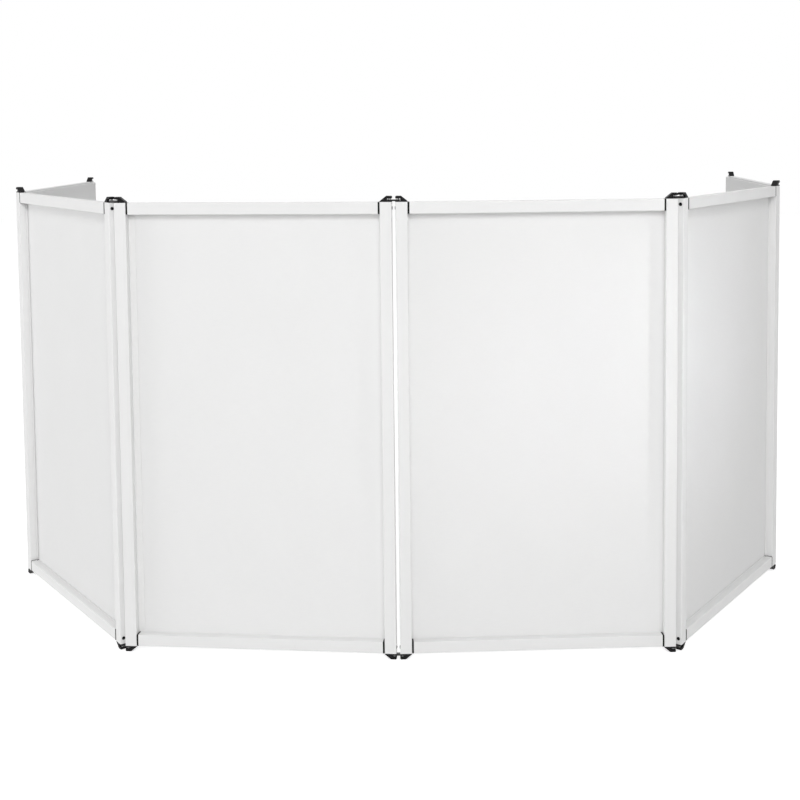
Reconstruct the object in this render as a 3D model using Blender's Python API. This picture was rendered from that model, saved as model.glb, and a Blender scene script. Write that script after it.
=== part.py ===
"""Folding facade of six framed fabric panels, hinged edge to edge and set up as an open C.

Metres, +Z up. The front faces -Y and the origin is on the floor.
Panel pieces are drawn flat, with x across the panel, y from its front face backwards and z from
the bottom edge of its frame, and each panel hangs on the empty at its driving hinge pin.
"""

import math

import bmesh
import bpy
from mathutils import Matrix, Vector
from mathutils.geometry import tessellate_polygon

for old in list(bpy.data.objects):
    bpy.data.objects.remove(old, do_unlink=True)

# Sizes of one panel
panel_width = 0.750
frame_height = 1.220
bar_width = 0.032
tube_depth = 0.018
tube_wall = 0.0016
edge_radius = 0.0015
panel_depth = 0.0265
gap = 0.0003

# Rear rib of the bar, which carries the scrim
groove_width = 0.0015
groove_depth = 0.002
rib_inset = 0.0055
rib_inner_step = 0.001
rib_slope = 0.0004
rib_wall = 0.0018
scrim_thickness = 0.001
scrim_hem = 0.0065

# Corner piece: cap on the stile's end, plugs in stile and rail, plate between them
cap_top = 0.0157
cap_tip = 0.0024
cap_floor = 0.0015
cap_chamfer = 0.0008
cap_flat = 0.0150
roof_height = 0.0065
stile_plug = 0.040
rail_plug = 0.036
corner_plate = 0.0043
web_width = 0.0074
web_depth = 0.0237
button_radius = 0.0046
button_height = 0.0015
button_from_end = 0.016

# Hinge frame: two upright rods joined by a flat link at the top and the bottom
pin_inset = 0.0065
pin_spacing = 0.022
pin_radius = 0.0025
eye_radius = 0.006
collar_radius = 0.0042
link_thickness = 0.0044

# Half of the bend at each joint line as photographed, in degrees
half_bend_centre = 3.85
half_bend_left = 23.95
half_bend_right = 26.15
half_bend_left_wing = 19.5
half_bend_right_wing = 16.15

pin_depth = tube_depth / 2
pin_pitch = panel_width - 2 * pin_inset
bore_radius = pin_radius + gap
plug_from = tube_wall + gap
plate_from = bar_width + gap
plate_to = plate_from + corner_plate
rail_start = plate_to + gap
rail_length = panel_width - 2 * rail_start
slot_top = cap_top - roof_height
slot_end = pin_inset + eye_radius + 2 * gap
link_bottom = cap_floor + gap
link_top = link_bottom + link_thickness
collar_top = slot_top - gap
pin_end = cap_top - 0.0025


def material(name, colour, roughness, metallic=0.0):
    made = bpy.data.materials.new(name)
    made.use_nodes = True
    shader = made.node_tree.nodes["Principled BSDF"]
    shader.inputs["Base Color"].default_value = (*colour, 1.0)
    shader.inputs["Roughness"].default_value = roughness
    shader.inputs["Metallic"].default_value = metallic
    made.diffuse_color = (*colour, 1.0)
    return made


bar_white = material("bar_white", (0.86, 0.86, 0.85), 0.38)
corner_black = material("corner_black", (0.018, 0.018, 0.019), 0.42)
scrim_white = material("scrim_white", (0.88, 0.88, 0.87), 0.85)
hinge_steel = material("hinge_steel", (0.03, 0.03, 0.031), 0.35, 0.7)


def mesh_from(points, faces, name):
    """Closed mesh with every face turned outwards"""
    made = bpy.data.meshes.new(name)
    made.from_pydata([tuple(point) for point in points], [], faces)
    work = bmesh.new()
    work.from_mesh(made)
    bmesh.ops.recalc_face_normals(work, faces=work.faces)
    work.to_mesh(made)
    work.free()
    return made


def extruded(outline, holes, start, end, name):
    """Outline in x and y, with holes, carried from z = start to z = end"""
    loops = [outline, *holes]
    flat = [(x, y) for loop in loops for x, y in loop]
    points = [(x, y, start) for x, y in flat] + [(x, y, end) for x, y in flat]
    count = len(flat)
    ends = [tuple(range(count))]
    if holes:
        ends = tessellate_polygon([[Vector((x, y, 0.0)) for x, y in loop] for loop in loops])
    faces = [tuple(face) for face in ends]
    faces += [tuple(count + corner for corner in reversed(face)) for face in ends]
    first = 0
    for loop in loops:
        size = len(loop)
        for step in range(size):
            near = first + step
            far = first + (step + 1) % size
            faces.append((near, far, count + far, count + near))
        first += size
    return mesh_from(points, faces, name)


def lofted(layers, name):
    """Rings with the same number of points joined one to the next, with the ends filled"""
    size = len(layers[0])
    points = [point for layer in layers for point in layer]
    faces = []
    for level in range(len(layers) - 1):
        for step in range(size):
            near = level * size + step
            far = level * size + (step + 1) % size
            faces.append((near, far, size + far, size + near))
    last = (len(layers) - 1) * size
    for face in tessellate_polygon([[Vector(point) for point in layers[0]]]):
        faces.append(tuple(face))
    for face in tessellate_polygon([[Vector(point) for point in layers[-1]]]):
        faces.append(tuple(last + corner for corner in face))
    return mesh_from(points, faces, name)


def turned(profile, sides, name):
    """Profile of (radius, height) turned about z, with points on the axis at both ends"""
    layers = []
    for radius, height in profile:
        layers.append(
            [
                (
                    radius * math.cos(2 * math.pi * step / sides),
                    radius * math.sin(2 * math.pi * step / sides),
                    height,
                )
                for step in range(sides)
            ]
        )
    made = lofted(layers, name)
    made.polygons.foreach_set("use_smooth", [len(face.vertices) == 4 for face in made.polygons])
    made.set_sharp_from_angle(angle=math.radians(40))
    return made


def rounded(low, high, radius, steps=2):
    """Rectangle from low to high with round corners, anticlockwise"""
    (left, bottom), (right, top) = low, high
    corners = [(left, bottom, 180), (right, bottom, 270), (right, top, 0), (left, top, 90)]
    outline = []
    for x, y, first in corners:
        centre_x = x + radius if x == left else x - radius
        centre_y = y + radius if y == bottom else y - radius
        for step in range(steps + 1):
            angle = math.radians(first + 90 * step / steps)
            outline.append(
                (centre_x + radius * math.cos(angle), centre_y + radius * math.sin(angle))
            )
    return outline


def cylinder_along(radius, start, end, sides=12):
    """Round cutter between two points"""
    start, end = Vector(start), Vector(end)
    length = (end - start).length
    made = turned([(radius, 0), (radius, length)], sides, "cutter")
    turn = Vector((0, 0, 1)).rotation_difference(end - start).to_matrix().to_4x4()
    made.transform(Matrix.Translation(start) @ turn)
    return made


def box_between(low, high):
    outline = [(low[0], low[1]), (high[0], low[1]), (high[0], high[1]), (low[0], high[1])]
    return extruded(outline, [], low[2], high[2], "box")


def triangulated(mesh):
    """Bent quads split, so that a Boolean reads them as they are drawn"""
    work = bmesh.new()
    work.from_mesh(mesh)
    bmesh.ops.triangulate(work, faces=work.faces)
    work.to_mesh(mesh)
    work.free()
    return mesh


def merged(meshes, name):
    """Several closed meshes in one"""
    work = bmesh.new()
    for mesh in meshes:
        work.from_mesh(mesh)
    made = bpy.data.meshes.new(name)
    work.to_mesh(made)
    work.free()
    return made


def worked(mesh, tools, name):
    """Result of Booleans (operation, mesh) on a mesh"""
    helpers = []
    base = bpy.data.objects.new("work", mesh)
    bpy.context.scene.collection.objects.link(base)
    helpers.append(base)
    for operation, tool_mesh in tools:
        tool = bpy.data.objects.new("tool", tool_mesh)
        bpy.context.scene.collection.objects.link(tool)
        tool.hide_render = True
        tool.display_type = "WIRE"
        helpers.append(tool)
        boolean = base.modifiers.new(operation.lower(), "BOOLEAN")
        boolean.operation = operation
        boolean.solver = "EXACT"
        boolean.object = tool
    bpy.context.view_layer.update()
    graph = bpy.context.evaluated_depsgraph_get()
    made = bpy.data.meshes.new_from_object(base.evaluated_get(graph))
    made.name = name
    for helper in helpers:
        bpy.data.objects.remove(helper, do_unlink=True)
    return made


def moved(mesh, matrix):
    """Copy of a mesh under a matrix, turned outwards again if the matrix mirrors it"""
    copy = mesh.copy()
    copy.transform(matrix)
    if matrix.determinant() < 0:
        copy.flip_normals()
    return copy


def piece(name, mesh, finish, parent, smooth_angle=30):
    mesh.name = name
    mesh.materials.clear()
    mesh.materials.append(finish)
    mesh.polygons.foreach_set("use_smooth", [True] * len(mesh.polygons))
    mesh.set_sharp_from_angle(angle=math.radians(smooth_angle))
    made = bpy.data.objects.new(name, mesh)
    bpy.context.scene.collection.objects.link(made)
    made.parent = parent
    return made


def bar_outline():
    """Section of the bar: x from the frame's outer side, y from its front face"""
    right = bar_width - rib_inner_step
    rear = panel_depth - scrim_thickness - gap
    neck = tube_depth + groove_width
    groove = max(groove_depth, edge_radius + gap)
    outline = rounded((0, 0), (bar_width, tube_depth), edge_radius)
    three_corners = len(outline) * 3 // 4
    tube_front, tube_rear_left = outline[:three_corners], outline[three_corners:]
    rib = [
        (bar_width - groove, tube_depth),
        (bar_width - groove, neck),
        (right, neck + rib_slope),
        (right, rear),
        (rib_inset + 0.001, rear),
        (rib_inset, rear - 0.001),
        (rib_inset, neck + rib_slope),
        (rib_inset + groove, neck),
        (rib_inset + groove, tube_depth),
    ]
    return tube_front + rib + tube_rear_left


def bar_hollows():
    hollows = []
    for low, high in (
        ((tube_wall, tube_wall), (bar_width - tube_wall, tube_depth - tube_wall)),
        (
            (rib_inset + rib_wall, tube_depth + groove_width + tube_wall),
            (bar_width - rib_inner_step - rib_wall, panel_depth - scrim_thickness - gap - rib_wall),
        ),
    ):
        hollows.append([low, (low[0], high[1]), high, (high[0], low[1])])
    return hollows


# Stile: one bar with its rib cut short for the scrim's hem, and at both ends a hole for the corner's
# button and an open notch for its web
stile_cuts = []
for end, inward in ((0.0, 1), (frame_height, -1)):
    rib_cut = sorted((end - inward * 0.01, end + inward * rib_inset))
    stile_cuts.append(
        box_between(
            (-0.005, tube_depth + 0.0001, rib_cut[0]),
            (bar_width + 0.005, panel_depth + 0.005, rib_cut[1]),
        )
    )
    notch = sorted((end - inward * 0.001, end + inward * (web_depth + gap)))
    stile_cuts.append(
        box_between(
            (bar_width - tube_wall - 0.001, pin_depth - web_width / 2 - gap, notch[0]),
            (bar_width + 0.001, pin_depth + web_width / 2 + gap, notch[1]),
        )
    )
    height = end + inward * button_from_end
    stile_cuts.append(
        cylinder_along(
            button_radius + gap, (-0.001, pin_depth, height), (plug_from + 0.001, pin_depth, height)
        )
    )
stile_left = worked(
    extruded(bar_outline(), bar_hollows(), 0.0, frame_height, "stile"),
    [("DIFFERENCE", merged(stile_cuts, "cuts"))],
    "stile",
)

# Rail: the same bar lying between two corner plates, its outer side up at z = 0
rail_turn = Matrix(((0, 0, 1, 0), (0, 1, 0, 0), (-1, 0, 0, 0), (0, 0, 0, 1)))
rail = moved(
    extruded(bar_outline(), bar_hollows(), rail_start, rail_start + rail_length, "rail"),
    rail_turn,
)


def cap_profile(inset):
    """Side view of the cap in x and z, drawn inwards by the chamfer on its front and back"""
    low = gap
    return [
        (inset, low),
        (inset, cap_floor - inset * 0.3),
        (slot_end + inset, cap_floor - inset * 0.3),
        (slot_end + inset, slot_top + inset),
        (inset, slot_top + inset),
        (inset, cap_top - 0.002),
        (0.002 + inset * 0.4, cap_top - inset),
        (cap_flat - inset * 0.4, cap_top - inset),
        (bar_width - gap - inset, cap_tip - inset * 0.5),
        (bar_width - gap - inset, low),
    ]


# Corner piece for the top left, with the stile's end at z = 0
cap_layers = []
for depth, inset in (
    (gap, cap_chamfer),
    (gap + cap_chamfer, 0.0),
    (tube_depth - gap - cap_chamfer, 0.0),
    (tube_depth - gap, cap_chamfer),
):
    cap_layers.append([(x, depth, z) for x, z in cap_profile(inset)])
in_stile = box_between(
    (plug_from, plug_from, -stile_plug),
    (bar_width - plug_from, tube_depth - plug_from, gap + 0.0006),
)
web = box_between(
    (bar_width - plug_from - 0.001, pin_depth - web_width / 2, -web_depth),
    (plate_from + 0.001, pin_depth + web_width / 2, -0.0005),
)
plate = moved(extruded(bar_outline(), [], plate_from, plate_to, "plate"), rail_turn)
in_rail = box_between(
    (plate_to - 0.001, plug_from, plug_from - bar_width),
    (plate_to + rail_plug, tube_depth - plug_from, -plug_from),
)
button = turned(
    [
        (button_radius * 0.72, 0.0),
        (button_radius, button_height * 0.45),
        (button_radius, button_height + plug_from + 0.0005),
    ],
    12,
    "button",
)
button.transform(
    Matrix.Translation((-button_height, pin_depth, -button_from_end))
    @ Matrix.Rotation(math.pi / 2, 4, "Y")
)
pin_bore = cylinder_along(
    bore_radius, (pin_inset, pin_depth, -stile_plug - 0.001), (pin_inset, pin_depth, pin_end + gap)
)
corner = worked(
    triangulated(lofted(cap_layers, "cap")),
    [
        ("UNION", in_stile),
        ("UNION", web),
        ("UNION", plate),
        ("UNION", in_rail),
        ("UNION", button),
        ("DIFFERENCE", pin_bore),
    ],
    "corner",
)

# Scrim: stretched sheet over the back with a shallow hem round the rib
hem_out = rib_inset - gap - scrim_thickness
hem_in = rib_inset - gap
scrim = worked(
    box_between(
        (hem_out, panel_depth - scrim_hem, hem_out),
        (panel_width - hem_out, panel_depth, frame_height - hem_out),
    ),
    [
        (
            "DIFFERENCE",
            box_between(
                (hem_in, panel_depth - scrim_hem - 0.01, hem_in),
                (panel_width - hem_in, panel_depth - scrim_thickness, frame_height - hem_in),
            ),
        )
    ],
    "scrim",
)

# Hinge frame with its first rod at x = 0, the links standing off both ends of the panels
link_outline = []
for centre, first in ((pin_spacing, -90), (0.0, 90)):
    for step in range(7):
        angle = math.radians(first + 30 * step)
        link_outline.append(
            (centre + eye_radius * math.cos(angle), eye_radius * math.sin(angle))
        )
links = [
    extruded(link_outline, [], -link_top, -link_bottom, "link"),
    extruded(link_outline, [], frame_height + link_bottom, frame_height + link_top, "link"),
]
rods = []
for centre in (0.0, pin_spacing):
    rod = turned(
        [
            (pin_radius * 0.7, -pin_end),
            (pin_radius, -pin_end + 0.0008),
            (pin_radius, -collar_top),
            (collar_radius, -collar_top),
            (collar_radius, -link_top + 0.001),
            (pin_radius, -link_top + 0.001),
            (pin_radius, frame_height + link_top - 0.001),
            (collar_radius, frame_height + link_top - 0.001),
            (collar_radius, frame_height + collar_top),
            (pin_radius, frame_height + collar_top),
            (pin_radius, frame_height + pin_end - 0.0008),
            (pin_radius * 0.7, frame_height + pin_end),
        ],
        10,
        "rod",
    )
    rod.transform(Matrix.Translation((centre, 0, 0)))
    rods.append(rod)
hinge = worked(merged(links, "links"), [("UNION", merged(rods, "rods"))], "hinge")

mirror_x = Matrix.Translation((panel_width, 0, 0)) @ Matrix.Diagonal((-1, 1, 1, 1))
mirror_z = Matrix.Translation((0, 0, frame_height)) @ Matrix.Diagonal((1, 1, -1, 1))
to_top = Matrix.Translation((0, 0, frame_height))


def axis(name, parent, location, degrees):
    """Empty on an upright hinge axis"""
    made = bpy.data.objects.new(name, None)
    bpy.context.scene.collection.objects.link(made)
    made.parent = parent
    made.location = location
    made.rotation_euler = (0, 0, math.radians(degrees))
    return made


def panel(name, empty, driven_at_right):
    """All pieces of one panel, with its driving pin on the empty's axis"""
    pin_x = panel_width - pin_inset if driven_at_right else pin_inset
    place = Matrix.Translation((-pin_x, -pin_depth, 0))
    top = place @ to_top
    bottom = place @ mirror_z @ to_top
    piece(name + "_stile_l", moved(stile_left, place), bar_white, empty)
    piece(name + "_stile_r", moved(stile_left, place @ mirror_x), bar_white, empty)
    piece(name + "_rail_top", moved(rail, top), bar_white, empty)
    piece(name + "_rail_bottom", moved(rail, bottom), bar_white, empty)
    piece(name + "_corner_tl", moved(corner, top), corner_black, empty)
    piece(name + "_corner_tr", moved(corner, top @ mirror_x), corner_black, empty)
    piece(name + "_corner_bl", moved(corner, bottom), corner_black, empty)
    piece(name + "_corner_br", moved(corner, bottom @ mirror_x), corner_black, empty)
    piece(name + "_scrim", moved(scrim, place), scrim_white, empty)


def joint_line(name, empty, towards_right):
    """Hinge frame with its first rod on the empty's axis"""
    turn = Matrix.Identity(4) if towards_right else Matrix.Rotation(math.pi, 4, "Z")
    piece(name + "_hinge_frame", moved(hinge, turn), hinge_steel, empty, 40)


def hung(parent, line, panel_name, half_bend, towards_right):
    """Joint line and the panel beyond it, hung on the last pin of the panel before"""
    side = 1 if towards_right else -1
    start = (0, 0, 0) if parent[1] else (side * pin_pitch, 0, 0)
    first = axis("axis_" + line, parent[0], start, side * half_bend)
    joint_line(line, first, towards_right)
    second = axis("axis_" + panel_name, first, (side * pin_spacing, 0, 0), side * half_bend)
    panel(panel_name, second, not towards_right)
    return second, False


# The front left panel stands still, with its right pin on its own axis, and the rest hang on it
base = axis("axis_front_left", None, (-pin_spacing / 2, 0, cap_top), -half_bend_centre)
panel("front_left", base, True)

right = hung((base, True), "centre", "front_right", half_bend_centre, True)
right = hung(right, "right", "side_right", half_bend_right, True)
hung(right, "right_wing", "wing_right", half_bend_right_wing, True)

left = hung((base, False), "left", "side_left", half_bend_left, False)
hung(left, "left_wing", "wing_left", half_bend_left_wing, False)

# The middle of the footprint comes over the origin
bpy.context.view_layer.update()
outer = []
for made in bpy.data.objects:
    if made.type == "MESH":
        outer += [made.matrix_world @ vertex.co for vertex in made.data.vertices]
for side in (0, 1):
    reach = [point[side] for point in outer]
    base.location[side] -= (min(reach) + max(reach)) / 2
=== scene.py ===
import math

import bmesh
import bpy
from mathutils import Matrix, Vector
from mathutils.noise import noise


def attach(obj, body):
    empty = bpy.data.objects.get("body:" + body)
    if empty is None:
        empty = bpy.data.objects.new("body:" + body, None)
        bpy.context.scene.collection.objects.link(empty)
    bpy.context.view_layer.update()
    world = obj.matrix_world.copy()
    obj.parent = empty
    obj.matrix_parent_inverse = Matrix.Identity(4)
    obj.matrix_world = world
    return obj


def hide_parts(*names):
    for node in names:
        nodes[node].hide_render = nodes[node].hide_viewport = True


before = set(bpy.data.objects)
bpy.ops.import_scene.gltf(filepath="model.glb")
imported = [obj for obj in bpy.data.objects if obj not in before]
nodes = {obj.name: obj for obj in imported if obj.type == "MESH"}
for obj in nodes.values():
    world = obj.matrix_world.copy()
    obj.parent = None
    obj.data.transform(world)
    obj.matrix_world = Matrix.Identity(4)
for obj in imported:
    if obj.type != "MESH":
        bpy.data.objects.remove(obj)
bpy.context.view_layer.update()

# One panel as the frame holds it, in metres: x across, y from the front face backwards and z up
# from the lower edge of its bars
panelSizes = {
    "width": 0.750,
    "height": 1.220,
    "depth": 0.0265,
    "pinInset": 0.0065,
    "pinDepth": 0.009,
    "floorGap": 0.0157,
}

# Driving pin of each panel, the panel's turn in degrees and the side that the pin is on
panelPlaces = {
    "wing_left": (-1.2158731, -0.0551545, -90.75, "right"),
    "side_left": (-0.7525292, -0.6547655, -51.75, "right"),
    "front_left": (0.0022684, -0.7145116, -3.85, "right"),
    "front_right": (0.0242683, -0.7145116, 3.85, "left"),
    "side_right": (0.7786576, -0.6540261, 56.15, "left"),
    "wing_right": (1.1958705, -0.02099, 88.45, "left"),
}

# First rod of each joint line, and the direction of its second rod in degrees
linePlaces = {
    "left_wing": (-1.2088015, -0.075987, 108.75),
    "left": (-0.7330684, -0.6650261, 152.2),
    "centre": (0.0022684, -0.7145116, 0.0),
    "right": (0.7596051, -0.6650261, 30.0),
    "right_wing": (1.1891818, -0.0419486, 72.3),
}


def turnAt(x, y, degrees):
    """Matrix from a panel's or a hinge's own measures to a place on the floor"""
    lift = Matrix.Translation((x, y, panelSizes["floorGap"]))
    return lift @ Matrix.Rotation(math.radians(degrees), 4, "Z")


def panelMatrix(name):
    """Matrix from a panel's own measures to its place as set up"""
    x, y, degrees, pinSide = panelPlaces[name]
    inset = panelSizes["pinInset"]
    across = panelSizes["width"] - inset if pinSide == "right" else inset
    return turnAt(x, y, degrees) @ Matrix.Translation((-across, -panelSizes["pinDepth"], 0))


def addPiece(name, mesh, material, smoothAngle=35):
    """New object of one material, smooth up to an angle in degrees between its faces"""
    made = bpy.data.objects.new(name, mesh)
    mesh.name = name
    bpy.context.scene.collection.objects.link(made)
    mesh.materials.clear()
    mesh.materials.append(material)
    mesh.polygons.foreach_set("use_smooth", [True] * len(mesh.polygons))
    mesh.set_sharp_from_angle(angle=math.radians(smoothAngle))
    return made


def closedMesh(points, faces, name):
    """Mesh with its doubled points joined and all its faces turned outwards"""
    made = bpy.data.meshes.new(name)
    made.from_pydata(points, [], faces)
    work = bmesh.new()
    work.from_mesh(made)
    bmesh.ops.remove_doubles(work, verts=work.verts, dist=1e-7)
    bmesh.ops.recalc_face_normals(work, faces=work.faces)
    work.to_mesh(made)
    work.free()
    return made


# Materials. Each helper adds one node and returns it or its result. In the dictionaries an entry
# whose name ends in Noise holds scale, detail and roughness, one that ends in Range holds low and
# high of what comes in and of what goes out, and one that ends in Bump holds strength and height.


def startMaterial(name):
    made = bpy.data.materials.new(name)
    made.use_nodes = True
    tree = made.node_tree
    return made, tree, tree.nodes["Principled BSDF"]


def fillSockets(tree, node, **inputs):
    """Links or sets a node's inputs; an underscore stands for a space in their names"""
    for key, value in inputs.items():
        socket = node.inputs[key.replace("_", " ")]
        if isinstance(value, bpy.types.NodeSocket):
            tree.links.new(value, socket)
        else:
            socket.default_value = value


def addNode(tree, kind, settings=None, **inputs):
    made = tree.nodes.new(kind)
    for key, value in (settings or {}).items():
        setattr(made, key, value)
    fillSockets(tree, made, **inputs)
    return made


def addMath(tree, operation, first, second=0.0, third=None):
    made = tree.nodes.new("ShaderNodeMath")
    made.operation = operation
    for index, value in enumerate((first, second, third)):
        if isinstance(value, bpy.types.NodeSocket):
            tree.links.new(value, made.inputs[index])
        elif value is not None:
            made.inputs[index].default_value = value
    return made.outputs[0]


def remapped(tree, value, fromLow, fromHigh, toLow, toHigh):
    made = addNode(
        tree,
        "ShaderNodeMapRange",
        {"clamp": True},
        Value=value,
        From_Min=fromLow,
        From_Max=fromHigh,
        To_Min=toLow,
        To_Max=toHigh,
    )
    return made.outputs[0]


def mixedColour(tree, share, first, second):
    made = tree.nodes.new("ShaderNodeMix")
    made.data_type = "RGBA"
    tree.links.new(share, made.inputs[0])
    for index, value in ((6, first), (7, second)):
        if isinstance(value, bpy.types.NodeSocket):
            tree.links.new(value, made.inputs[index])
        else:
            made.inputs[index].default_value = (*value, 1.0)
    return made.outputs[2]


def noiseOn(tree, where, scale, detail, roughness=0.5):
    made = addNode(
        tree,
        "ShaderNodeTexNoise",
        Vector=where,
        Scale=scale,
        Detail=detail,
        Roughness=roughness,
    )
    return made.outputs[0]


def stretched(tree, where, scale):
    return addNode(tree, "ShaderNodeMapping", Vector=where, Scale=scale).outputs[0]


def bumped(tree, height, strength, distance):
    made = addNode(tree, "ShaderNodeBump", Height=height, Strength=strength, Distance=distance)
    return made.outputs[0]


barFinish = {
    "colour": (0.795, 0.795, 0.793),
    "dulled": (0.75, 0.75, 0.745),
    "scuffed": (0.62, 0.617, 0.605),
    "dullNoise": (5.0, 3.0),
    "dullRange": (0.35, 0.8, 0.0, 0.35),
    "scuffStretch": (1.0, 1.0, 0.25),
    "scuffNoise": (140.0, 4.0, 0.62),
    "scuffRange": (0.735, 0.79, 0.0, 0.55),
    "footRange": (0.0, 0.35, 0.045, 0.0),
    "roughNoise": (38.0, 3.0),
    "roughRange": (0.3, 0.7, 0.33, 0.46),
    "peelNoise": (1500.0, 1.5, 0.45),
    "peelBump": (0.35, 0.00004),
    "specular": 0.5,
}


def makeBarWhite():
    made, tree, shader = startMaterial("barWhite")
    where = addNode(tree, "ShaderNodeTexCoord").outputs["Object"]
    cloudy = noiseOn(tree, where, *barFinish["dullNoise"])
    share = remapped(tree, cloudy, *barFinish["dullRange"])
    body = mixedColour(tree, share, barFinish["colour"], barFinish["dulled"])
    # short scuffs, thicker towards the feet
    along = stretched(tree, where, barFinish["scuffStretch"])
    streaks = noiseOn(tree, along, *barFinish["scuffNoise"])
    height = addNode(tree, "ShaderNodeSeparateXYZ", Vector=where).outputs["Z"]
    nearFeet = remapped(tree, height, *barFinish["footRange"])
    scuffs = addMath(tree, "ADD", streaks, nearFeet)
    scuffs = remapped(tree, scuffs, *barFinish["scuffRange"])
    patchy = noiseOn(tree, where, *barFinish["roughNoise"])
    peel = noiseOn(tree, where, *barFinish["peelNoise"])
    fillSockets(
        tree,
        shader,
        Base_Color=mixedColour(tree, scuffs, body, barFinish["scuffed"]),
        Roughness=remapped(tree, patchy, *barFinish["roughRange"]),
        Normal=bumped(tree, peel, *barFinish["peelBump"]),
        Specular_IOR_Level=barFinish["specular"],
    )
    return made


cornerFinish = {
    "colour": (0.0045, 0.0045, 0.005),
    "rubbed": (0.018, 0.018, 0.019),
    "rubNoise": (95.0, 5.0, 0.6),
    "rubRange": (0.55, 0.78, 0.0, 0.8),
    "roughRange": (0.3, 0.75, 0.42, 0.60),
    "grainNoise": (2600.0, 2.0, 0.55),
    "grainBump": (0.5, 0.00005),
    "specular": 0.15,
}


def makeCornerBlack():
    made, tree, shader = startMaterial("cornerBlack")
    where = addNode(tree, "ShaderNodeTexCoord").outputs["Object"]
    rubs = noiseOn(tree, where, *cornerFinish["rubNoise"])
    share = remapped(tree, rubs, *cornerFinish["rubRange"])
    grain = noiseOn(tree, where, *cornerFinish["grainNoise"])
    fillSockets(
        tree,
        shader,
        Base_Color=mixedColour(tree, share, cornerFinish["colour"], cornerFinish["rubbed"]),
        Roughness=remapped(tree, rubs, *cornerFinish["roughRange"]),
        Normal=bumped(tree, grain, *cornerFinish["grainBump"]),
        Specular_IOR_Level=cornerFinish["specular"],
    )
    return made


linkFinish = {
    "colour": (0.010, 0.010, 0.0105),
    "bare": (0.22, 0.22, 0.22),
    "chipNoise": (420.0, 4.0, 0.65),
    "chipRange": (0.70, 0.74, 0.0, 0.7),
    "roughRange": (0.3, 0.7, 0.28, 0.42),
    "peelNoise": (1700.0, 2.0),
    "peelBump": (0.3, 0.00003),
    "specular": 0.3,
}


def makeLinkBlack():
    made, tree, shader = startMaterial("linkBlack")
    where = addNode(tree, "ShaderNodeTexCoord").outputs["Object"]
    chips = noiseOn(tree, where, *linkFinish["chipNoise"])
    share = remapped(tree, chips, *linkFinish["chipRange"])
    peel = noiseOn(tree, where, *linkFinish["peelNoise"])
    fillSockets(
        tree,
        shader,
        Base_Color=mixedColour(tree, share, linkFinish["colour"], linkFinish["bare"]),
        Roughness=remapped(tree, chips, *linkFinish["roughRange"]),
        Normal=bumped(tree, peel, *linkFinish["peelBump"]),
        Specular_IOR_Level=linkFinish["specular"],
    )
    return made


rodFinish = {
    "light": (0.62, 0.62, 0.61),
    "dark": (0.40, 0.40, 0.41),
    "drawnStretch": (900.0, 900.0, 14.0),
    "drawnNoise": (1.0, 3.0),
    "toneRange": (0.3, 0.7, 0.0, 1.0),
    "roughRange": (0.3, 0.7, 0.24, 0.38),
    "drawnBump": (0.2, 0.00002),
    "metallic": 0.85,
}


def makeRodSteel():
    made, tree, shader = startMaterial("rodSteel")
    where = addNode(tree, "ShaderNodeTexCoord").outputs["Object"]
    along = stretched(tree, where, rodFinish["drawnStretch"])
    drawn = noiseOn(tree, along, *rodFinish["drawnNoise"])
    share = remapped(tree, drawn, *rodFinish["toneRange"])
    fillSockets(
        tree,
        shader,
        Base_Color=mixedColour(tree, share, rodFinish["light"], rodFinish["dark"]),
        Roughness=remapped(tree, drawn, *rodFinish["roughRange"]),
        Normal=bumped(tree, drawn, *rodFinish["drawnBump"]),
        Metallic=rodFinish["metallic"],
    )
    return made


clothFinish = {
    "colour": (0.915, 0.915, 0.913),
    "shade": (0.835, 0.835, 0.833),
    "threadPitch": 0.00062,
    "slubStretch": (40.0, 900.0, 1.0),
    "slubNoise": (1.0, 2.0),
    "cloudStretch": (7.0, 5.0, 1.0),
    "cloudNoise": (1.0, 3.0),
    "evenTone": 0.25,
    "weaveTone": 0.10,
    "slubTone": 0.45,
    "cloudTone": 0.25,
    "toneRange": (0.25, 0.95, 0.0, 0.75),
    "roughRange": (0.3, 0.7, 0.78, 0.92),
    "weaveHeight": 0.5,
    "threadBump": (0.4, 0.00006),
    "sheen": 0.12,
    "sheenRoughness": 0.5,
    "specular": 0.25,
    "letsThrough": 0.13,
}


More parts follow.
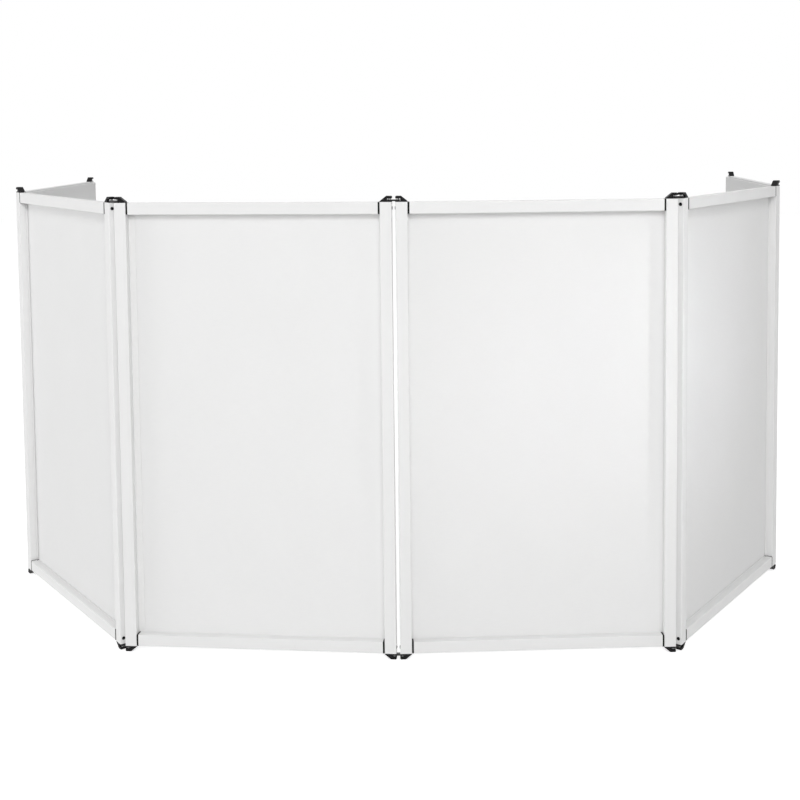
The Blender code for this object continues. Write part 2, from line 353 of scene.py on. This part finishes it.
def makeClothWhite():
    made, tree, shader = startMaterial("clothWhite")
    across = addNode(tree, "ShaderNodeUVMap", {"uv_map": "clothMap"}).outputs["UV"]
    split = addNode(tree, "ShaderNodeSeparateXYZ", Vector=across)
    turns = 2 * math.pi / clothFinish["threadPitch"]
    warp = addMath(tree, "SINE", addMath(tree, "MULTIPLY", split.outputs["X"], turns))
    weft = addMath(tree, "SINE", addMath(tree, "MULTIPLY", split.outputs["Y"], turns))
    weave = addMath(tree, "MULTIPLY", warp, weft)
    slubs = stretched(tree, across, clothFinish["slubStretch"])
    slubs = noiseOn(tree, slubs, *clothFinish["slubNoise"])
    cloudy = stretched(tree, across, clothFinish["cloudStretch"])
    cloudy = noiseOn(tree, cloudy, *clothFinish["cloudNoise"])
    tone = clothFinish["evenTone"]
    for part, weight in ((weave, "weaveTone"), (slubs, "slubTone"), (cloudy, "cloudTone")):
        tone = addMath(tree, "MULTIPLY_ADD", part, clothFinish[weight], tone)
    tone = remapped(tree, tone, *clothFinish["toneRange"])
    colour = mixedColour(tree, tone, clothFinish["colour"], clothFinish["shade"])
    raised = addMath(tree, "MULTIPLY_ADD", weave, clothFinish["weaveHeight"], slubs)
    normal = bumped(tree, raised, *clothFinish["threadBump"])
    fillSockets(
        tree,
        shader,
        Base_Color=colour,
        Roughness=remapped(tree, slubs, *clothFinish["roughRange"]),
        Normal=normal,
        Sheen_Weight=clothFinish["sheen"],
        Sheen_Roughness=clothFinish["sheenRoughness"],
        Specular_IOR_Level=clothFinish["specular"],
    )
    through = addNode(tree, "ShaderNodeBsdfTranslucent", Color=colour, Normal=normal)
    joined = addNode(tree, "ShaderNodeMixShader")
    joined.inputs[0].default_value = clothFinish["letsThrough"]
    tree.links.new(shader.outputs[0], joined.inputs[1])
    tree.links.new(through.outputs[0], joined.inputs[2])
    tree.links.new(joined.outputs[0], tree.nodes["Material Output"].inputs["Surface"])
    return made


# Colours of the strip beside one upright: a little darker than the cloth, so that it paints a
# darker band there
darkStripFinish = {
    "colour": (0.87, 0.87, 0.865),
    "shade": (0.74, 0.74, 0.735),
    "loopNoise": (1300.0, 3.0, 0.7),
    "loopRange": (0.3, 0.7, 0.0, 0.4),
    "patchNoise": (60.0, 3.0),
    "patchShare": 0.4,
    "loopBump": (0.7, 0.0003),
    "roughness": 0.9,
    "sheen": 0.2,
}


def makeDarkStrip():
    made, tree, shader = startMaterial("darkStripMaterial")
    where = addNode(tree, "ShaderNodeTexCoord").outputs["Object"]
    loops = noiseOn(tree, where, *darkStripFinish["loopNoise"])
    patches = noiseOn(tree, where, *darkStripFinish["patchNoise"])
    share = remapped(tree, loops, *darkStripFinish["loopRange"])
    share = addMath(tree, "MULTIPLY_ADD", patches, darkStripFinish["patchShare"], share)
    fillSockets(
        tree,
        shader,
        Base_Color=mixedColour(tree, share, darkStripFinish["colour"], darkStripFinish["shade"]),
        Roughness=darkStripFinish["roughness"],
        Normal=bumped(tree, loops, *darkStripFinish["loopBump"]),
        Sheen_Weight=darkStripFinish["sheen"],
    )
    return made


threadFinish = {
    "light": (0.90, 0.90, 0.89),
    "dark": (0.70, 0.70, 0.69),
    "fibreNoise": (2400.0, 2.0),
    "fibreBump": (0.5, 0.0001),
    "roughness": 0.7,
}


def makeThreadWhite():
    made, tree, shader = startMaterial("threadWhite")
    where = addNode(tree, "ShaderNodeTexCoord").outputs["Object"]
    fibres = noiseOn(tree, where, *threadFinish["fibreNoise"])
    fillSockets(
        tree,
        shader,
        Base_Color=mixedColour(tree, fibres, threadFinish["light"], threadFinish["dark"]),
        Roughness=threadFinish["roughness"],
        Normal=bumped(tree, fibres, *threadFinish["fibreBump"]),
    )
    return made


barWhite = makeBarWhite()
cornerBlack = makeCornerBlack()
linkBlack = makeLinkBlack()
rodSteel = makeRodSteel()
clothWhite = makeClothWhite()
darkStripMaterial = makeDarkStrip()
threadWhite = makeThreadWhite()
print("materials made")

# Bars and corner pieces are the frame's own
for name, node in nodes.items():
    if "_stile_" in name or "_rail_" in name:
        finish = barWhite
    elif "_corner_" in name:
        finish = cornerBlack
    else:
        continue
    node.data.materials.clear()
    node.data.materials.append(finish)

# Cloth: a stretched sheet over the rear of the frame, folded round its rib into a shallow hem.
# Lengths are in metres. The edge stops are the grid lines beside each corner, and each hem ring
# holds its share of the way down the hem and its share of the swell.
cloth = {
    "outerInset": 0.0042,
    "cornerRound": 0.0015,
    "cornerSteps": 4,
    "foldRound": 0.0011,
    "foldSteps": 4,
    "hemDepth": 0.0062,
    "hemSwell": 0.00035,
    "thickness": 0.0007,
    "cell": 0.0085,
    "fewestCells": 4,
    "edgeStops": (
        0.0, 0.0013, 0.0026, 0.0039, 0.0052, 0.0065, 0.0078,
        0.0091, 0.0104, 0.0122, 0.0145, 0.018, 0.0225,
    ),
    "hemRings": ((0.25, 0.0), (0.40, 0.7), (0.55, 1.0), (0.80, 1.0), (0.95, 0.8), (1.0, 0.2)),
    "pleatReach": 0.022,
    "pleatFade": 2.5,
    "pleatPitch": 0.0052,
    "pleatHeight": 0.00045,
    "pleatRings": 7,
    "spanFrom": 0.031,
    "ripplePitch": 0.041,
    "rippleStart": 0.008,
    "rippleReach": 0.030,
    "rippleHeight": 0.00022,
    "driftScale": 3.1,
    "driftSides": 7.7,
    "driftTurn": 2.6,
    "swellScale": 6.3,
    "swellSides": 3.3,
    "swellSeed": 5.5,
    "swellMean": 0.45,
    "swellRange": 0.55,
    "seedStep": 3.7,
    "seamRows": (0.0014, 0.0030),
    "seamCornerSteps": 3,
}


def gridStops(length, start):
    """Places of the cloth's grid lines along one side, closer by the corners"""
    near = list(cloth["edgeStops"])
    inner = length - 2 * start
    between = inner - 2 * near[-1]
    count = max(cloth["fewestCells"], round(between / cloth["cell"]))
    middle = [near[-1] + between * step / count for step in range(1, count)]
    far = [inner - stop for stop in reversed(near)]
    return [start + stop for stop in near + middle + far]


def ripple(x, z, seed):
    """Depth of the fine tension waves that run in from the frame's inner edges"""
    width, height = panelSizes["width"], panelSizes["height"]
    total = 0.0
    for side, (along, inset) in enumerate(((z, x), (z, width - x), (x, z), (x, height - z))):
        reach = inset - cloth["spanFrom"]
        if reach <= 0:
            continue
        fade = min(1.0, reach / cloth["rippleStart"]) * math.exp(-reach / cloth["rippleReach"])
        drift = Vector((along * cloth["driftScale"], side * cloth["driftSides"], seed))
        drift = noise(drift) * cloth["driftTurn"]
        swell = Vector(
            (along * cloth["swellScale"], cloth["swellSides"] + side, seed + cloth["swellSeed"])
        )
        swell = cloth["swellMean"] + cloth["swellRange"] * noise(swell)
        total += fade * swell * math.sin(2 * math.pi * along / cloth["ripplePitch"] + drift)
    return total * cloth["rippleHeight"]


def clothMesh(name, seed):
    """Cloth of one panel: its field, the fold over the rib and the hem"""
    width, height, depth = (panelSizes[key] for key in ("width", "height", "depth"))
    centre = cloth["outerInset"] + cloth["cornerRound"]
    across, up = gridStops(width, centre), gridStops(height, centre)
    points, faces, flat = [], [], []
    for z in up:
        for x in across:
            points.append((x, depth - ripple(x, z, seed), z))
            flat.append((x, z))
    columns, rows = len(across), len(up)
    for row in range(rows - 1):
        for column in range(columns - 1):
            first = row * columns + column
            faces.append((first, first + 1, first + columns + 1, first + columns))

    # rings from the field's edge over the fold and down the hem, as inset and depth
    foldRound = cloth["foldRound"]
    foldAt = cloth["outerInset"] + foldRound
    rings = []
    for step in range(cloth["foldSteps"] + 1):
        angle = math.pi / 2 * step / cloth["foldSteps"]
        rings.append(
            (foldAt - foldRound * math.sin(angle), depth - foldRound * (1 - math.cos(angle)))
        )
    hemStart, hemEnd = depth - foldRound, depth - cloth["hemDepth"]
    for share, swell in cloth["hemRings"]:
        inset = cloth["outerInset"] - cloth["hemSwell"] * swell
        rings.append((inset, hemStart + (hemEnd - hemStart) * share))
    ringStarts = []
    for level, (inset, y) in enumerate(rings):
        ringStarts.append(len(points))
        radius = centre - inset
        loop = []
        sides = (
            ((centre, centre), across, "x", 180),
            ((width - centre, centre), up, "z", 270),
            ((width - centre, height - centre), across[::-1], "x", 0),
            ((centre, height - centre), up[::-1], "z", 90),
        )
        for (cx, cz), stops, way, first in sides:
            for step in range(cloth["cornerSteps"]):
                angle = math.radians(first + 90 * step / cloth["cornerSteps"])
                loop.append((cx + radius * math.cos(angle), cz + radius * math.sin(angle)))
            edge = math.radians(first + 90)
            for stop in stops[:-1]:
                away = min(stop - centre, (width if way == "x" else height) - centre - stop)
                pleat = math.exp(-away / (cloth["pleatReach"] / cloth["pleatFade"]))
                wave = 0.5 + 0.5 * math.cos(2 * math.pi * away / cloth["pleatPitch"])
                share = min(1.0, level / cloth["pleatRings"])
                out = cloth["pleatHeight"] * pleat * wave * share
                if way == "x":
                    loop.append((stop, cz + (radius + out) * math.sin(edge)))
                else:
                    loop.append((cx + (radius + out) * math.cos(edge), stop))
        # the cloth's map goes on outwards by about the length of cloth folded down
        down = depth - y + max(0.0, foldAt - inset)
        for x, z in loop:
            points.append((x, y, z))
            outX = -down if x < centre else (down if x > width - centre else 0.0)
            outZ = -down if z < centre else (down if z > height - centre else 0.0)
            flat.append((x + outX, z + outZ))
    size = len(points) - ringStarts[-1]

    # the field's own edge in the same order as a ring, its corners repeated
    edgeLoop = []
    lastRow = (rows - 1) * columns
    walks = (
        list(range(columns - 1)),
        [columns - 1 + row * columns for row in range(rows - 1)],
        [lastRow + column for column in range(columns - 1, 0, -1)],
        [row * columns for row in range(rows - 1, 0, -1)],
    )
    for walk in walks:
        edgeLoop += [walk[0]] * cloth["cornerSteps"] + walk
    loops = [edgeLoop] + [list(range(start, start + size)) for start in ringStarts]
    for inner, outer in zip(loops, loops[1:]):
        for step in range(size):
            far = (step + 1) % size
            corners = [inner[step], outer[step], outer[far], inner[far]]
            unique = list(dict.fromkeys(corners))
            if len(unique) > 2:
                faces.append(tuple(unique))
    made = bpy.data.meshes.new(name)
    made.from_pydata(points, [], faces)
    layer = made.uv_layers.new(name="clothMap")
    for loop in made.loops:
        layer.data[loop.index].uv = flat[loop.vertex_index]
    work = bmesh.new()
    work.from_mesh(made)
    bmesh.ops.recalc_face_normals(work, faces=work.faces)
    # the field's first face tells which side is out
    work.faces.ensure_lookup_table()
    if work.faces[0].normal.y < 0:
        bmesh.ops.reverse_faces(work, faces=work.faces)
    work.to_mesh(made)
    work.free()
    return made


def stitchPath(inset, y):
    """Closed loop of edges round the hem"""
    width, height = panelSizes["width"], panelSizes["height"]
    corner, steps = cloth["cornerRound"], cloth["seamCornerSteps"]
    points = []
    for cx, cz, first in (
        (inset + corner, inset + corner, 180),
        (width - inset - corner, inset + corner, 270),
        (width - inset - corner, height - inset - corner, 0),
        (inset + corner, height - inset - corner, 90),
    ):
        for step in range(steps + 1):
            angle = math.radians(first + 90 * step / steps)
            points.append((cx + corner * math.cos(angle), y, cz + corner * math.sin(angle)))
    made = bpy.data.meshes.new("path")
    made.from_pydata(points, [(at, (at + 1) % len(points)) for at in range(len(points))], [])
    return made


# Stitches along a loop of edges, made by nodes; each entry is an input of the node group
stitches = {"Pitch": 0.0042, "Length": 0.0030, "Radius": 0.00032}


def makeStitchTree():
    tree = bpy.data.node_groups.new("stitchRow", "GeometryNodeTree")
    face = tree.interface
    face.new_socket("Geometry", in_out="INPUT", socket_type="NodeSocketGeometry")
    for label, value in stitches.items():
        socket = face.new_socket(label, in_out="INPUT", socket_type="NodeSocketFloat")
        socket.default_value = value
    face.new_socket("Geometry", in_out="OUTPUT", socket_type="NodeSocketGeometry")
    given = tree.nodes.new("NodeGroupInput")
    result = tree.nodes.new("NodeGroupOutput")
    path = addNode(tree, "GeometryNodeMeshToCurve", Mesh=given.outputs["Geometry"])
    spaced = addNode(
        tree,
        "GeometryNodeResampleCurve",
        {"mode": "LENGTH"},
        Curve=path.outputs[0],
        Length=given.outputs["Pitch"],
    )
    bead = addNode(tree, "GeometryNodeMeshUVSphere", Segments=6, Rings=4, Radius=1.0)
    size = addNode(
        tree,
        "ShaderNodeCombineXYZ",
        X=given.outputs["Radius"],
        Y=given.outputs["Radius"],
        Z=addMath(tree, "MULTIPLY", given.outputs["Length"], 0.5),
    )
    tangent = tree.nodes.new("GeometryNodeInputTangent")
    aligned = addNode(
        tree, "FunctionNodeAlignRotationToVector", {"axis": "Z"}, Vector=tangent.outputs[0]
    )
    placed = addNode(
        tree,
        "GeometryNodeInstanceOnPoints",
        Points=spaced.outputs[0],
        Instance=bead.outputs[0],
        Rotation=aligned.outputs[0],
        Scale=size.outputs[0],
    )
    real = addNode(tree, "GeometryNodeRealizeInstances", Geometry=placed.outputs[0])
    coloured = addNode(tree, "GeometryNodeSetMaterial", Geometry=real.outputs[0])
    coloured.inputs["Material"].default_value = threadWhite
    tree.links.new(coloured.outputs[0], result.inputs[0])
    return tree


def madeByNodes(mesh, tree, values):
    """Plain mesh that a node tree makes of a mesh"""
    holder = bpy.data.objects.new("holder", mesh)
    bpy.context.scene.collection.objects.link(holder)
    modifier = holder.modifiers.new("nodes", "NODES")
    modifier.node_group = tree
    for item in tree.interface.items_tree:
        if item.item_type == "SOCKET" and item.in_out == "INPUT" and item.name in values:
            modifier[item.identifier] = values[item.name]
    bpy.context.view_layer.update()
    graph = bpy.context.evaluated_depsgraph_get()
    made = bpy.data.meshes.new_from_object(holder.evaluated_get(graph))
    bpy.data.objects.remove(holder, do_unlink=True)
    return made


# Strip a little darker than the cloth that stands out from behind the left upright of one panel
# and paints a darker band beside that one upright only
darkStrip = {
    "panel": "front_left",
    "thickness": 0.0008,
    "clothGap": 0.0006,
    "reach": 0.0185,
    "from": 0.0312,
    "endGap": 0.0370,
    "waviness": 0.0005,
    "waveScale": 9.0,
    "waveSeed": (2.0, 0.4),
    "sections": 90,
}


def darkStripMesh(name):
    """Strip beside an upright, in front of the cloth, with a slightly wavy edge; it paints a
    darker band there
    """
    height = panelSizes["height"]
    rear = panelSizes["depth"] - cloth["thickness"] - darkStrip["clothGap"]
    front = rear - darkStrip["thickness"]
    count = darkStrip["sections"]
    near = darkStrip["from"]
    points = []
    for step in range(count + 1):
        z = darkStrip["endGap"] + (height - 2 * darkStrip["endGap"]) * step / count
        wave = noise(Vector((z * darkStrip["waveScale"], *darkStrip["waveSeed"])))
        far = near + darkStrip["reach"] + darkStrip["waviness"] * wave
        points += [(near, front, z), (far, front, z), (far, rear, z), (near, rear, z)]
    faces = [(0, 1, 2, 3), tuple(count * 4 + corner for corner in range(4))]
    for step in range(count):
        for corner in range(4):
            near, far = step * 4 + corner, step * 4 + (corner + 1) % 4
            faces.append((near, far, far + 4, near + 4))
    return closedMesh(points, faces, name)


stitchTree = makeStitchTree()
for index, panelName in enumerate(panelPlaces):
    place = panelMatrix(panelName)
    mesh = clothMesh(panelName + "_cloth", index * cloth["seedStep"])
    mesh.transform(place)
    sheet = addPiece(panelName + "_cloth", mesh, clothWhite, smoothAngle=60)
    wall = sheet.modifiers.new("wall", "SOLIDIFY")
    wall.thickness = cloth["thickness"]
    wall.offset = -1
    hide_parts(panelName + "_scrim")
    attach(sheet, panelName)

    work = bmesh.new()
    hemEdge = panelSizes["depth"] - cloth["hemDepth"]
    for back in cloth["seamRows"]:
        path = stitchPath(cloth["outerInset"] - cloth["hemSwell"], hemEdge + back)
        work.from_mesh(madeByNodes(path, stitchTree, stitches))
    mesh = bpy.data.meshes.new(panelName + "_stitches")
    work.to_mesh(mesh)
    work.free()
    mesh.transform(place)
    seam = addPiece(panelName + "_stitches", mesh, threadWhite, smoothAngle=60)
    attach(seam, panelName)
    # the strip paints a darker band beside this panel's left upright only
    if panelName == darkStrip["panel"]:
        mesh = darkStripMesh(panelName + "_dark_strip")
        mesh.transform(place)
        strip = addPiece(panelName + "_dark_strip", mesh, darkStripMaterial)
        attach(strip, panelName)
print("cloth made:", len(panelPlaces), "sheets")

# Hinge of each joint line: two black link plates on two steel rods
hinge = {
    "rodSpacing": 0.022,
    "rodRadius": 0.0025,
    "rodSides": 20,
    "eyeRadius": 0.006,
    "eyeSteps": 14,
    "linkBottom": 0.0018,
    "linkTop": 0.0062,
    "linkBevel": 0.0006,
    "bevelSegments": 2,
    "bevelAngle": 50,
    "collarRadius": 0.0042,
    "collarTop": 0.0089,
    "collarSunk": 0.001,
    "collarRound": 0.0004,
    "rodEnd": 0.0132,
    "rodEndRound": 0.0008,
    "rodEndShare": 0.7,
}


def plateMesh(name):
    """Lower and upper link plate"""
    outline = []
    for centre, first in ((hinge["rodSpacing"], -90), (0.0, 90)):
        for step in range(hinge["eyeSteps"] + 1):
            angle = math.radians(first + 180 * step / hinge["eyeSteps"])
            across, back = math.cos(angle), math.sin(angle)
            outline.append((centre + hinge["eyeRadius"] * across, hinge["eyeRadius"] * back))
    points, faces = [], []
    height = panelSizes["height"]
    for low, high in (
        (-hinge["linkTop"], -hinge["linkBottom"]),
        (height + hinge["linkBottom"], height + hinge["linkTop"]),
    ):
        first, count = len(points), len(outline)
        points += [(x, y, low) for x, y in outline] + [(x, y, high) for x, y in outline]
        faces.append(tuple(first + at for at in range(count)))
        faces.append(tuple(first + count + at for at in reversed(range(count))))
        for at in range(count):
            far = (at + 1) % count
            faces.append((first + at, first + far, first + count + far, first + count + at))
    return closedMesh(points, faces, name)


def rodMesh(name):
    """Both rods, each with a collar and a rounded end below and above"""
    height = panelSizes["height"]
    radius, collar = hinge["rodRadius"], hinge["collarRadius"]
    base, top = hinge["linkTop"] - hinge["collarSunk"], hinge["collarTop"]
    edge = hinge["collarRound"]
    upper = [
        (radius, base),
        (collar - edge, base),
        (collar, base + edge),
        (collar, top - edge),
        (collar - edge, top),
        (radius, top),
        (radius, hinge["rodEnd"] - hinge["rodEndRound"]),
        (radius * hinge["rodEndShare"], hinge["rodEnd"]),
    ]
    profile = [(reach, -z) for reach, z in reversed(upper)]
    profile += [(reach, height + z) for reach, z in upper]
    sides = hinge["rodSides"]
    points, faces = [], []
    for centre in (0.0, hinge["rodSpacing"]):
        first = len(points)
        for reach, z in profile:
            for step in range(sides):
                angle = 2 * math.pi * step / sides
                points.append((centre + reach * math.cos(angle), reach * math.sin(angle), z))
        for level in range(len(profile) - 1):
            for step in range(sides):
                near = first + level * sides + step
                far = first + level * sides + (step + 1) % sides
                faces.append((near, far, far + sides, near + sides))
        last = first + (len(profile) - 1) * sides
        faces.append(tuple(first + step for step in reversed(range(sides))))
        faces.append(tuple(last + step for step in range(sides)))
    return closedMesh(points, faces, name)


for line, (x, y, degrees) in linePlaces.items():
    place = turnAt(x, y, degrees)
    mesh = plateMesh(line + "_links")
    mesh.transform(place)
    plates = addPiece(line + "_links", mesh, linkBlack)
    rounding = plates.modifiers.new("rounding", "BEVEL")
    rounding.width = hinge["linkBevel"]
    rounding.segments = hinge["bevelSegments"]
    rounding.angle_limit = math.radians(hinge["bevelAngle"])
    mesh = rodMesh(line + "_rods")
    mesh.transform(place)
    rods = addPiece(line + "_rods", mesh, rodSteel)
    for made in (plates, rods):
        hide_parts(line + "_hinge_frame")
        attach(made, line + "_link")
print("hinges made:", len(linePlaces))

# Camera at the photograph's viewing angle: place in metres, lens and sensor in millimetres, turns
# in degrees and shift in shares of the picture
camera = {
    "place": (0.1738, -3.9245, 1.4340),
    "sensor": 36.0,
    "lens": 55.03,
    "pitch": 3.931,
    "yaw": 1.443,
    "roll": -0.533,
    "shift": (-0.0299, -0.2375),
}
lens = bpy.data.cameras.new("camera")
viewer = bpy.data.objects.new("camera", lens)
bpy.context.scene.collection.objects.link(viewer)
lens.sensor_width = camera["sensor"]
lens.lens = camera["lens"]
lens.shift_x, lens.shift_y = camera["shift"]
placed = Matrix.Translation(camera["place"])
for degrees, axis in ((camera["yaw"], "Z"), (90 - camera["pitch"], "X"), (camera["roll"], "Z")):
    placed = placed @ Matrix.Rotation(math.radians(degrees), 4, axis)
viewer.matrix_world = placed
bpy.context.scene.camera = viewer

# Floor and background: white to the camera and in reflections, plain light for everything else
studio = {
    "worldLight": 0.507,
    "white": (1.0, 1.0, 1.0, 1.0),
    "floorColour": (0.80, 0.80, 0.80, 1.0),
    "floorRoughness": 0.9,
    "floorGlow": 0.60,
    "floorSize": 30.0,
}


def backgroundShare(tree):
    """One for rays that see the studio as white, nought for those that only bring light"""
    path = addNode(tree, "ShaderNodeLightPath").outputs
    share = addMath(tree, "MAXIMUM", path["Is Camera Ray"], path["Is Glossy Ray"])
    return addMath(tree, "MAXIMUM", share, path["Is Transmission Ray"])


world = bpy.data.worlds.new("studio")
bpy.context.scene.world = world
world.use_nodes = True
tree = world.node_tree
light = tree.nodes["Background"]
fillSockets(tree, light, Color=studio["white"], Strength=studio["worldLight"])
white = addNode(tree, "ShaderNodeBackground", Color=studio["white"], Strength=1.0)
joined = addNode(tree, "ShaderNodeMixShader")
tree.links.new(backgroundShare(tree), joined.inputs[0])
tree.links.new(light.outputs[0], joined.inputs[1])
tree.links.new(white.outputs[0], joined.inputs[2])
tree.links.new(joined.outputs[0], tree.nodes["World Output"].inputs["Surface"])

floorMaterial, tree, shader = startMaterial("floorWhite")
fillSockets(
    tree,
    shader,
    Base_Color=studio["floorColour"],
    Roughness=studio["floorRoughness"],
    Specular_IOR_Level=0.0,
    Emission_Color=studio["white"],
    Emission_Strength=addMath(tree, "MULTIPLY", backgroundShare(tree), studio["floorGlow"]),
)
reach = studio["floorSize"] / 2
corners = [(-reach, -reach, 0), (reach, -reach, 0), (reach, reach, 0), (-reach, reach, 0)]
mesh = bpy.data.meshes.new("floor")
mesh.from_pydata(corners, [], [(0, 1, 2, 3)])
floor = addPiece("floor", mesh, floorMaterial)

# Soft lamps: place, aim, size in metres, power in watts and spread in degrees
lamps = {
    "key": ((2.6, -8.9, 3.3), (0.0, -0.5, 0.6), 1.4, 80.0, 180),
    "above": ((0.1, -7.2, 5.0), (0.0, -0.5, 0.5), 2.4, 206.0, 180),
    "left": ((-7.3, -2.1, 1.8), (-0.95, -0.35, 0.6), 3.4, 116.0, 180),
    "right": ((4.2, -2.6, 1.9), (0.8, -0.66, 0.85), 0.8, 0.55, 18),
    "back": ((0.0, 5.2, 5.1), (0.0, 0.0, 0.5), 4.8, 50.0, 180),
}
for name, (place, aim, size, power, spread) in lamps.items():
    lamp = bpy.data.lights.new(name, "AREA")
    lamp.shape = "DISK"
    lamp.size = size
    lamp.energy = power
    lamp.spread = math.radians(spread)
    holder = bpy.data.objects.new(name, lamp)
    bpy.context.scene.collection.objects.link(holder)
    holder.location = place
    holder.rotation_euler = (Vector(aim) - Vector(place)).to_track_quat("-Z", "Y").to_euler()
bpy.context.scene.view_settings.view_transform = "Standard"
print("camera, floor and lamps set")
